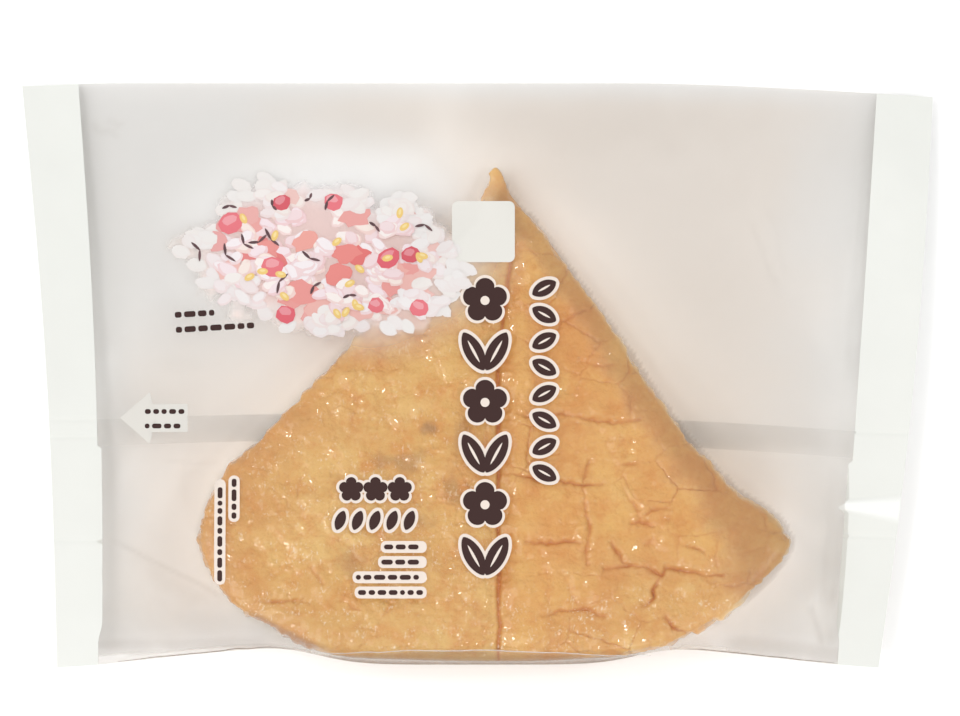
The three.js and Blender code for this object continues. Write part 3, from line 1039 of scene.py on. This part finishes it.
def make_film(material):
    columns, rows = FILM_LEVELS[-1][:2]
    x, y, across, up = film_plan(columns, rows)
    front_index = np.arange((columns + 1) * (rows + 1)).reshape(columns + 1, rows + 1)
    inner = np.s_[1:-1, 1:-1]
    back_index = front_index.copy()
    inside = np.arange((columns - 1) * (rows - 1)).reshape(columns - 1, rows - 1)
    back_index[inner] = front_index.size + inside
    front = np.column_stack((x.ravel(), y.ravel(), film_front.ravel()))
    back = np.column_stack((x[inner].ravel(), y[inner].ravel(), film_back[inner].ravel()))
    faces = grid_faces(columns, rows, lambda i, j: int(front_index[i, j]))
    faces += grid_faces(columns, rows, lambda i, j: int(back_index[i, j]), flip=True)
    obj = piece("film_bag", np.concatenate((front, back)), faces, material)
    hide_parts(PACK_NODE)
    sharpen_border(obj.data, np.isin(np.arange(front_index.size + len(back)), border_of(front_index)))
    depth = depth_inside(x, y)
    looks = film_looks(x.ravel(), y.ravel(), across.ravel(), up.ravel(), depth.ravel())
    # The back film carries the same painted light
    clearness_and_shadow_lift = film_shadow_lift(x[inner], y[inner], up[inner], depth[inner])
    behind = {"haze": np.full(len(back), BACK_HAZE), "clearness_and_shadow_lift": clearness_and_shadow_lift.ravel()}
    for name, values in looks.items():
        set_attribute(obj, name, np.concatenate((values, behind.get(name, np.zeros(len(back))))))


def make_seal(name, side, material):
    """One white end seal with its pressed lines, and a wedge fold on the right one."""
    columns, rows = SEAL_GRID
    up = np.linspace(0, 1, rows + 1)[None, :] * np.ones((columns + 1, 1))
    share = np.linspace(0, 1, columns + 1)[:, None]
    left, right = pack_edges(up)[:2]
    film_left, film_right = film_edges(up)
    level = plan_y(0 * up, up)
    jog = SEAL_JOG * smoothstep(SEAL_JOG_Y[side] + 0.3, SEAL_JOG_Y[side] - 0.3, level)
    jog = jog * smoothstep(SEAL_FOOT_Y - 4, SEAL_FOOT_Y, level)
    if side > 0:
        jog = jog + WEDGE_TIP * np.maximum(0, 1 - np.abs(level - WEDGE_Y) / WEDGE_TIP_HALF)
    if side < 0:
        x = lerp(left, film_left + SEAL_OVERLAP + jog, share)
    else:
        x = lerp(film_right - SEAL_OVERLAP - jog, right, share)
    y = plan_y(x, up)
    middle = join_height(across_at(x, up), up) + 0.12 * rough_noise(x, y, 16.0, 31)
    pressed = np.zeros(x.shape)
    from_inside = x - film_right if side > 0 else film_left - x
    for line_y, slope in SEAL_LINES[side]:
        pressed = pressed + np.exp(-((y - line_y - slope * from_inside) / SEAL_LINE_HALF) ** 2)
    middle = middle - SEAL_LINE_DEPTH * pressed
    wedge = np.zeros(x.shape)
    if side > 0:
        inward = np.clip((x - WEDGE_TIP_X) / (WEDGE_END_X - WEDGE_TIP_X), 0, 1)
        half = lerp(WEDGE_TIP_HALF, WEDGE_HALF, inward)
        wedge = smoothstep(1.3, 0.5, np.abs(y - WEDGE_Y + WEDGE_DROP * inward) / half)
    middle = middle + WEDGE_RISE * wedge
    low, high = middle - SEAL_THICKNESS / 2, middle + SEAL_THICKNESS / 2
    obj = thin_plate(name, x, y, low, high, material)
    # The wedge fold is made paler, a painted highlight where it faces the light
    set_attribute(obj, "wedge_highlight", np.tile(wedge.ravel(), 2))


def seam_y(x):
    return SEAM_MIDDLE_Y + SEAM_SLOPE * x - SEAM_ARCH * x * x


def make_seam(material):
    columns, rows = SEAM_GRID
    x = np.linspace(*film_edges(SEAM_UP), columns + 1)[:, None] * np.ones((1, rows + 1))
    y = seam_y(x) + np.linspace(-0.5, 0.5, rows + 1)[None, :] * SEAM_WIDTH
    top = film_height(film_back, x, y) - SEAM_DROP
    obj = thin_plate("back_seam", x, y, top - SEAM_THICKNESS, top, material)
    set_attribute(obj, "haze", np.full(2 * x.size, SEAM_HAZE))
    # Painted light: clearer towards the ends to lift the end seals' shade
    from_end = np.minimum(x - x[0], x[-1] - x)
    clearness_and_shadow_lift = lerp(SEAM_END_SHADOW_LIFT, SEAM_SHEER, smoothstep(0, SEAM_END, from_end))
    set_attribute(obj, "clearness_and_shadow_lift", np.tile(clearness_and_shadow_lift.ravel(), 2))
    obj.visible_shadow = False


# Creases of the film: low ridges that stand on its front, each with its width and whether it looks dark; dark
# ones are painted shade, pale ones a painted highlight

FOLD_LINE_INSET = 0.22


def fold_line(x0, x1):
    """Places just inside the bottom fold."""
    x = np.linspace(x0, x1, 24)
    return tuple(zip(x.tolist(), (plan_y(x, 0.0) + FOLD_LINE_INSET).tolist()))


FILM_CREASES = (
    (0.26, 0, BOTTOM_CREASE),
    (0.2, 1, fold_line(-67.0, -34.0)),
    (0.2, 1, fold_line(39.0, 66.5)),
)
CREASE_STEP = 0.6
CREASE_RISE = 0.1
CREASE_HAZE = 0.3
DARK_CREASE_HAZE = 0.5


def smooth_line(points, step):
    """Evenly spaced points on a smooth line through the given points."""
    points = np.array(points, float)
    length = np.concatenate(([0], np.cumsum(np.linalg.norm(np.diff(points, axis=0), axis=1))))
    at = np.linspace(0, length[-1], max(2, round(length[-1] / step)) + 1)
    line = np.column_stack([np.interp(at, length, points[:, axis]) for axis in (0, 1)])
    for _ in range(8):
        line[1:-1] = (line[:-2] + 2 * line[1:-1] + line[2:]) / 4
    return line


def make_film_creases(material):
    points, faces, darkness = [], [], []
    for width, dark, corners in FILM_CREASES:
        line = smooth_line(corners, CREASE_STEP)
        line[:, 1] += 0.15 * wave_noise(line[:, 0], line[:, 1], 3.0, 97)
        along = np.gradient(line, axis=0)
        aside = np.column_stack((-along[:, 1], along[:, 0])) / np.linalg.norm(along, axis=1)[:, None]
        taper = np.sin(math.pi * np.linspace(0.04, 0.96, len(line))) ** 0.5
        base = sum(len(p) for p in points)
        for side, rise in ((-0.5, 0.02), (0.0, CREASE_RISE), (0.5, 0.02)):
            plan = line + aside * (side * width * taper)[:, None]
            height = film_height(film_front, plan[:, 0], plan[:, 1]) + INK_LIFT + rise
            points.append(np.column_stack((plan, height)))
        darkness += [dark] * (3 * len(line))
        count = len(line)
        low, top, high = base, base + count, base + 2 * count
        for k in range(count - 1):
            for a, b in ((low, high), (high, top), (top, low)):
                faces.append((a + k, b + k, b + k + 1, a + k + 1))
        faces.append((low, top, high))
        faces.append((low + count - 1, high + count - 1, top + count - 1))
    obj = piece("film_creases", np.concatenate(points), faces, material)
    darkness = np.array(darkness, float)
    set_attribute(obj, "haze", lerp(CREASE_HAZE, DARK_CREASE_HAZE, darkness))
    set_attribute(obj, "mist", 1 - darkness)
    set_attribute(obj, "shade", darkness)
    set_attribute(obj, "clearness_and_shadow_lift", np.ones(len(darkness)))
    obj.visible_shadow = False


# Print: simple shapes of ink that lie on the front of the film

INK_LIFT = 0.06
INK_THICKNESS = 0.03
FINE_LAYER = 0.006
CLEAR_LAYER = 0.03
INK_RING = 0.7
DARK_INK = linear(58, 40, 38)
WHITE_INK = linear(212, 200, 190)
PALE_INK = linear(204, 202, 196)
ARROW_INK = linear(198, 195, 189)
EDGE_STEP = 0.7
HALO = 0.55

TILE_MIDDLE = (1.1, 26.7)
TILE_SIZE = (11.7, 11.4)
COLUMN_X = 1.4
COLUMN_TOP = 18.6
COLUMN_PITCH = 9.47
COLUMN_MARKS = 6
COLUMN_BLOSSOM = 8.4
COLUMN_HEART = 1.7
COLUMN_LEAF = (8.0, 3.4)
COLUMN_VEIN = (4.6, 0.5)
COLUMN_LEAF_ASIDE = 2.1
LEAF_LEAN = 0.5
SIDE_X = 12.4
SIDE_PITCH = 4.9
SIDE_MARKS = 8
SIDE_LEAF = (5.0, 2.8)
SIDE_VEIN = (2.6, 0.4)
LINE_END_X = -10.0
DASH_LINES = ((-31.8, 7.3), (-34.6, 7.8), (-37.4, 12.5), (-40.2, 12.1))
DASH_HEIGHT = 0.9
BLOSSOM_ROW_Y = -21.2
BLOSSOM_ROW_XS = (-23.4, -18.9, -14.4)
BLOSSOM_ROW_SIZE = 4.6
LEAF_ROW_Y = -26.9
LEAF_ROW_XS = (-25.4, -22.2, -19.0, -15.8, -12.6)
LEAF_ROW_LONG = 3.8
LEAF_ROW_TURN = 1.2
EDGE_COLUMNS = ((-47.7, -19.9, -38.2), (-45.1, -19.2, -26.6))
TILTED_LINES = ((-56.5, 11.2, 7.4), (-56.3, 8.4, 15.2))
LINE_TILT = 0.06
ARROW_TIP_X = -66.6
ARROW_TAIL_X = -54.0
ARROW_Y = -8.0
ARROW_HALF = 4.8
ARROW_HEAD = 5.5
ARROW_SHAFT_HALF = 2.6
RICE_GRAINS = 130
RICE_CLUMPS = 30
RICE_CLUMP_GRAINS = 7
RICE_CLUMP_REACH = 3.2
RICE_CHIPS = 9
RICE_STROKES = 15
RICE_SEEDS = 18
RICE_GAPS = 32
UNDERSIDE_TONE = (226, 160, 158)
STROKE_TONES = ((84, 58, 62), (96, 66, 70))
SEED_TONES = ((240, 200, 110), (248, 222, 150))
RICE_TONES = ((244, 236, 238), (243, 226, 230), (247, 238, 234), (240, 218, 220), (245, 230, 222))
GAP_TONES = ((232, 140, 134), (226, 118, 116), (236, 164, 154))
CHIP_TONES = ((222, 92, 105), (230, 112, 122), (212, 84, 96))
MIST_TONE = (234, 231, 228)
PRINT_GAIN = 0.74


def turned_about(x, y, across, up, turn):
    """Places across and up from a point, turned about it."""
    return np.column_stack((
        x + across * math.cos(turn) - up * math.sin(turn),
        y + across * math.sin(turn) + up * math.cos(turn),
    ))


def oval(x, y, wide, high, turn=0.0, steps=16):
    angle = np.linspace(0, 2 * math.pi, steps, endpoint=False)
    return turned_about(x, y, wide / 2 * np.cos(angle), high / 2 * np.sin(angle), turn)


def dense(points):
    """A closed outline with more points put in, so that none are further apart than the step."""
    points = np.array(points, float)
    closer = []
    for a, b in zip(points, np.roll(points, -1, axis=0)):
        parts = max(1, math.ceil(math.dist(a, b) / EDGE_STEP))
        closer += [lerp(a, b, n / parts) for n in range(parts)]
    return np.array(closer)


def bar(x, y, wide, high, radius):
    """A rounded bar."""
    radius = min(radius, wide / 2, high / 2)
    corners = ((1, 1, 0.0), (-1, 1, 0.5), (-1, -1, 1.0), (1, -1, 1.5))
    points = []
    for sx, sy, start in corners:
        for angle in np.linspace(start, start + 0.5, 5) * math.pi:
            points.append((
                x + sx * (wide / 2 - radius) + radius * math.cos(angle),
                y + sy * (high / 2 - radius) + radius * math.sin(angle),
            ))
    return dense(points)


def blossom(x, y, size, spread=0.0):
    """Five round petals, widened all round by spread."""
    angle = np.linspace(0, 2 * math.pi, 80, endpoint=False)
    radius = size / 2 * (0.7 + 0.3 * np.abs(np.cos(2.5 * (angle - math.pi / 2))) ** 0.7) + spread
    return np.column_stack((x + radius * np.cos(angle), y + radius * np.sin(angle)))


def leaf(x, y, long, wide, turn, spread=0.0):
    """A leaf with two pointed ends, widened all round by spread."""
    angle = np.linspace(0, 2 * math.pi, 40, endpoint=False)
    swell = np.abs(np.sin(angle))
    aside = (wide / 2 * swell ** 1.4 + spread * swell ** 0.4) * np.sign(np.sin(angle))
    return turned_about(x, y, (long / 2 + spread) * np.cos(angle), aside, turn)


def tilted(edge, x, y, tilt):
    """A shape turned about a point."""
    away = np.asarray(edge) - (x, y)
    return turned_about(x, y, away[:, 0], away[:, 1], tilt)


class Ink:
    """The shapes of one printed piece. A shape lies one layer above those that it overlaps."""

    def __init__(self, layer_step):
        self.layer_step = layer_step
        self.points, self.faces, self.colours = [], [], []
        self.count = 0
        self.laid = []

    def layer_over(self, middle, reach):
        layer = 0
        for other, other_reach, other_layer in self.laid:
            if math.dist(middle, other) < reach + other_reach:
                layer = max(layer, other_layer + 1)
        self.laid.append((middle, reach, layer))
        return layer

    def shape(self, edge, colour):
        edge = np.asarray(edge)
        middle = edge.mean(axis=0)
        reach = float(np.linalg.norm(edge - middle, axis=1).max())
        rings = max(1, math.ceil(reach / INK_RING))
        plan = [middle[None, :]] + [middle + (edge - middle) * (r + 1) / rings for r in range(rings)]
        plan = np.concatenate(plan)
        height = film_height(film_front, plan[:, 0], plan[:, 1])
        lift = INK_LIFT + self.layer_step * self.layer_over(middle, reach)
        n = len(edge)
        for level in (lift, lift - INK_THICKNESS):
            self.points.append(np.column_stack((plan, height + level)))
        top, bottom = self.count, self.count + len(plan)
        for base, flip in ((top, False), (bottom, True)):
            for k in range(n):
                m = (k + 1) % n
                fan = [(base, base + 1 + k, base + 1 + m)]
                for r in range(rings - 1):
                    a, b = base + 1 + r * n, base + 1 + (r + 1) * n
                    fan.append((a + k, b + k, b + m, a + m))
                self.faces += [face[::-1] for face in fan] if flip else fan
        rim = 1 + (rings - 1) * n
        for k in range(n):
            m = (k + 1) % n
            self.faces.append((top + rim + k, bottom + rim + k, bottom + rim + m, top + rim + m))
        self.colours.append(np.tile(colour, (2 * len(plan), 1)))
        self.count += 2 * len(plan)

    def make(self, name, material):
        obj = piece(name, np.concatenate(self.points), self.faces, material, smooth=False)
        layer = obj.data.color_attributes.new("ink", "FLOAT_COLOR", "POINT")
        layer.data.foreach_set("color", np.concatenate(self.colours).astype(np.float32).ravel())
        obj.visible_shadow = False


def make_tile(material):
    """A bare pale tile."""
    ink = Ink(CLEAR_LAYER)
    ink.shape(bar(*TILE_MIDDLE, *TILE_SIZE, 1.1), PALE_INK)
    ink.make("print_tile", material)


def make_column(material):
    """A column of blossoms and leaf pairs, and a column of small leaves beside it."""
    ink = Ink(CLEAR_LAYER)
    halos, marks, hearts = [], [], []
    for n in range(COLUMN_MARKS):
        y = COLUMN_TOP - COLUMN_PITCH * (n + 0.5)
        if n % 2 == 0:
            halos.append(blossom(COLUMN_X, y, COLUMN_BLOSSOM, HALO))
            marks.append(blossom(COLUMN_X, y, COLUMN_BLOSSOM))
            hearts.append(oval(COLUMN_X, y, COLUMN_HEART, COLUMN_HEART))
        else:
            for side in (-1, 1):
                x, turn = COLUMN_X + side * COLUMN_LEAF_ASIDE, math.pi / 2 - side * LEAF_LEAN
                halos.append(leaf(x, y, *COLUMN_LEAF, turn, HALO))
                marks.append(leaf(x, y, *COLUMN_LEAF, turn))
                hearts.append(leaf(x, y, *COLUMN_VEIN, turn))
    for n in range(SIDE_MARKS):
        y = COLUMN_TOP - SIDE_PITCH * (n + 0.5)
        turn = LEAF_LEAN if n % 2 == 0 else -LEAF_LEAN
        halos.append(leaf(SIDE_X, y, *SIDE_LEAF, turn, HALO))
        marks.append(leaf(SIDE_X, y, *SIDE_LEAF, turn))
        hearts.append(leaf(SIDE_X, y, *SIDE_VEIN, turn))
    for shapes, colour in ((halos, WHITE_INK), (marks, DARK_INK), (hearts, WHITE_INK)):
        for edge in shapes:
            ink.shape(edge, colour)
    ink.make("print_title", material)


def dash_row(x0, x1, draw):
    """Middles and widths of short dashes that fill a line from x0 to x1."""
    dashes = []
    x = x0
    while x < x1 - 0.5:
        wide = min(draw.uniform(0.9, 2.2), x1 - x)
        dashes.append((x + wide / 2, wide))
        x += wide + 0.45
    return dashes


def make_lines(material):
    """Rows of small motifs and dashes on pale grounds, and a pale arrow by the left end seal."""
    ink = Ink(CLEAR_LAYER)
    draw = random.Random(5)
    grounds, dashes = [], []
    for x in BLOSSOM_ROW_XS:
        grounds.append(blossom(x, BLOSSOM_ROW_Y, BLOSSOM_ROW_SIZE, HALO))
        dashes.append(blossom(x, BLOSSOM_ROW_Y, BLOSSOM_ROW_SIZE))
    for x in LEAF_ROW_XS:
        grounds.append(leaf(x, LEAF_ROW_Y, LEAF_ROW_LONG, 1.9, LEAF_ROW_TURN, HALO))
        dashes.append(leaf(x, LEAF_ROW_Y, LEAF_ROW_LONG, 1.9, LEAF_ROW_TURN))
    for y, wide in DASH_LINES:
        grounds.append(bar(LINE_END_X - wide / 2, y, wide + 1.2, DASH_HEIGHT + 1.3, 0.9))
        for x, part in dash_row(LINE_END_X - wide, LINE_END_X, draw):
            dashes.append(bar(x, y, part, DASH_HEIGHT, 0.5))
    for x, top, low in EDGE_COLUMNS:
        grounds.append(bar(x, (top + low) / 2, 2.1, top - low + 1.2, 1.0))
        for y, part in dash_row(low, top, draw):
            dashes.append(bar(x, y, DASH_HEIGHT, part, 0.4))
    for x0, y, wide in TILTED_LINES:
        for x, part in dash_row(x0, x0 + wide, draw):
            dashes.append(tilted(bar(x, y, part, 1.1, 0.4), x0, y, LINE_TILT))
    neck_x = ARROW_TIP_X + ARROW_HEAD
    half = ((neck_x, ARROW_HALF), (neck_x, ARROW_SHAFT_HALF), (ARROW_TAIL_X, ARROW_SHAFT_HALF))
    arrow = [(ARROW_TIP_X, ARROW_Y)]
    arrow += [(x, ARROW_Y - up) for x, up in half]
    arrow += [(x, ARROW_Y + up) for x, up in reversed(half)]
    ink.shape(dense(arrow), ARROW_INK)
    for y in (ARROW_Y + 1.2, ARROW_Y - 1.5):
        for x, part in dash_row(ARROW_TIP_X + 4.6, ARROW_TAIL_X - 0.6, draw):
            dashes.append(bar(x, y, part, DASH_HEIGHT, 0.4))
    for edge in grounds:
        ink.shape(edge, WHITE_INK)
    for edge in dashes:
        ink.shape(edge, DARK_INK)
    ink.make("print_lines", material)


def faded(tone, share):
    """A printed tone that sinks into the white ground by a share, as an ink colour."""
    mixed = [lerp(a, b, share) for a, b in zip(tone, MIST_TONE)]
    return tuple(c * PRINT_GAIN for c in linear(*mixed)[:3]) + (1.0,)


def lump(x, y, wide, high, turn, draw, rough=0.12, steps=14):
    """An oval with an uneven edge."""
    edge = oval(0, 0, wide, high, turn, steps)
    edge *= np.array([[1 + draw.uniform(-rough, rough)] for _ in range(steps)])
    return edge + (x, y)


def rice_place(draw, reach=1.0):
    """A random place in the field of rice, and how far out it is, from 0 to 1."""
    angle, out = draw.uniform(0, 2 * math.pi), reach * math.sqrt(draw.random())
    along, aside = RICE_SIZE[0] * out * math.cos(angle), RICE_SIZE[1] * out * math.sin(angle)
    x = RICE_MIDDLE[0] + along * math.cos(RICE_TILT) - aside * math.sin(RICE_TILT)
    y = RICE_MIDDLE[1] + along * math.sin(RICE_TILT) + aside * math.cos(RICE_TILT)
    return x, y, out


def print_grain(ink, draw, x, y, out):
    """One grain: a rounded lump with a pink underside, paler towards the edge of the field."""
    turn = draw.uniform(-0.9, 0.9)
    wide, high = draw.uniform(2.8, 4.2), draw.uniform(1.9, 2.7)
    tone = draw.choice(RICE_TONES)
    fade = 0.92 * float(smoothstep(0.55, 1.0, out))
    shadow = [lerp(c, d, 0.28) for c, d in zip(tone, UNDERSIDE_TONE)]
    ink.shape(lump(x, y, wide, high, turn, draw), faded(shadow, fade))
    ink.shape(lump(x - 0.1, y + 0.22, wide * 0.86, high * 0.74, turn, draw), faded(tone, fade))


def make_rice(material):
    """A printed field of rice: pale pink grains with coral gaps, red chips, dark strokes and yellow seeds."""
    ink = Ink(FINE_LAYER)
    draw = random.Random(12)
    for _ in range(RICE_GRAINS):
        print_grain(ink, draw, *rice_place(draw))
    for _ in range(RICE_GAPS):
        x, y, out = rice_place(draw, 0.85)
        size = draw.uniform(3.5, 6.5)
        tone = draw.choice(GAP_TONES)
        edge = lump(x, y, size, size * 0.7, draw.uniform(-0.6, 0.6), draw, 0.25)
        ink.shape(edge, faded(tone, 0.7 * out ** 2))
    for _ in range(RICE_CLUMPS):
        x, y, out = rice_place(draw)
        for _ in range(RICE_CLUMP_GRAINS):
            aside, above = draw.gauss(0, RICE_CLUMP_REACH / 2), draw.gauss(0, RICE_CLUMP_REACH / 3)
            print_grain(ink, draw, x + aside, y + above, out)
    for _ in range(RICE_CHIPS):
        x, y, _ = rice_place(draw, 0.9)
        size, turn = draw.uniform(3.0, 4.6), draw.uniform(-0.6, 0.6)
        tone = draw.choice(CHIP_TONES)
        light = [lerp(c, 255, 0.3) for c in tone]
        ink.shape(lump(x, y, size, size * 0.9, turn, draw, 0.1, 9), faded(tone, 0.1))
        top = lump(x - 0.2, y + size * 0.14, size * 0.6, size * 0.4, turn, draw, 0.2, 9)
        ink.shape(top, faded(light, 0.1))
    for _ in range(RICE_STROKES):
        x, y, _ = rice_place(draw, 0.95)
        turn, long = draw.uniform(-1.2, 1.2), draw.uniform(1.8, 4.2)
        bend = draw.uniform(0.2, 0.5) * draw.choice((-1, 1))
        for side, wide, tone in ((-1, 0.55, STROKE_TONES[0]), (1, 0.5, STROKE_TONES[1])):
            edge = leaf(x + side * long / 4, y, long * 0.6, wide, -side * bend)
            ink.shape(tilted(edge, x, y, turn), faded(tone, 0.1))
    for _ in range(RICE_SEEDS):
        x, y, _ = rice_place(draw, 0.95)
        turn = draw.uniform(-1.5, 1.5)
        ink.shape(oval(x, y, 2.1, 1.25, turn, 12), faded(SEED_TONES[0], 0.15))
        ink.shape(oval(x, y + 0.15, 1.1, 0.5, turn, 10), faded(SEED_TONES[1], 0.15))
    ink.make("print_rice", material)


# Scene: the floor, and each light with its place, width and power

FLOOR_HALF = 1500.0
WORLD_STRENGTH = 0.9
GLINT = (46, 0.45)
LIGHTS = {
    "key": ((-1000, 60, 1600), 1500, 11.0),
    "fill": ((900, -600, 1700), 1500, 4.0),
    "glint_left": ((-330, 210, 760), *GLINT),
    "glint_low": ((120, -420, 720), *GLINT),
    "glint_right": ((360, 60, 760), *GLINT),
    "glint_corner": ((-240, -330, 740), *GLINT),
}


def make_floor(material):
    points = [(FLOOR_HALF * x, FLOOR_HALF * y, 0) for x, y in ((-1, -1), (1, -1), (1, 1), (-1, 1))]
    mesh = bpy.data.meshes.new("floor")
    mesh.from_pydata([tuple(c * MM for c in p) for p in points], [], [(0, 1, 2, 3)])
    mesh.materials.append(material)
    obj = bpy.data.objects.new("floor", mesh)
    bpy.context.scene.collection.objects.link(obj)


def add_light(name, at, size, power):
    lamp = bpy.data.lights.new(name, "AREA")
    lamp.shape = "DISK"
    lamp.size = size * MM
    lamp.energy = power
    obj = bpy.data.objects.new(name, lamp)
    obj.location = [c * MM for c in at]
    obj.rotation_euler = (-obj.location).to_track_quat("-Z", "Y").to_euler()
    bpy.context.scene.collection.objects.link(obj)


def add_world(strength):
    world = bpy.data.worlds.new("studio")
    world.use_nodes = True
    backdrop = world.node_tree.nodes["Background"]
    backdrop.inputs["Color"].default_value = (1, 1, 1, 1)
    backdrop.inputs["Strength"].default_value = strength
    bpy.context.scene.world = world


def add_camera():
    camera = bpy.data.cameras.new("camera")
    camera.sensor_width = SENSOR_WIDTH
    camera.lens = SENSOR_WIDTH * CAMERA_DISTANCE / (PHOTO_WIDTH_PX * PHOTO_PX_SIZE)
    obj = bpy.data.objects.new("camera", camera)
    obj.location = (CAMERA_X * MM, CAMERA_Y * MM, (CAMERA_PLANE_Z + CAMERA_DISTANCE) * MM)
    bpy.context.scene.collection.objects.link(obj)
    bpy.context.scene.camera = obj


bpy.context.scene.view_settings.view_transform = "Standard"
add_camera()
add_world(WORLD_STRENGTH)
for name, (at, size, power) in LIGHTS.items():
    add_light(name, at, size, power)
make_floor(floor_material())

film = film_material()
seal = seal_material()
ink = ink_material()
make_pouch(tofu_skin_material())
make_film(film)
make_seal("end_seal_left", -1, seal)
make_seal("end_seal_right", 1, seal)
make_seam(film)
make_film_creases(film)
make_rice(ink)
make_tile(ink)
make_column(ink)
make_lines(ink)
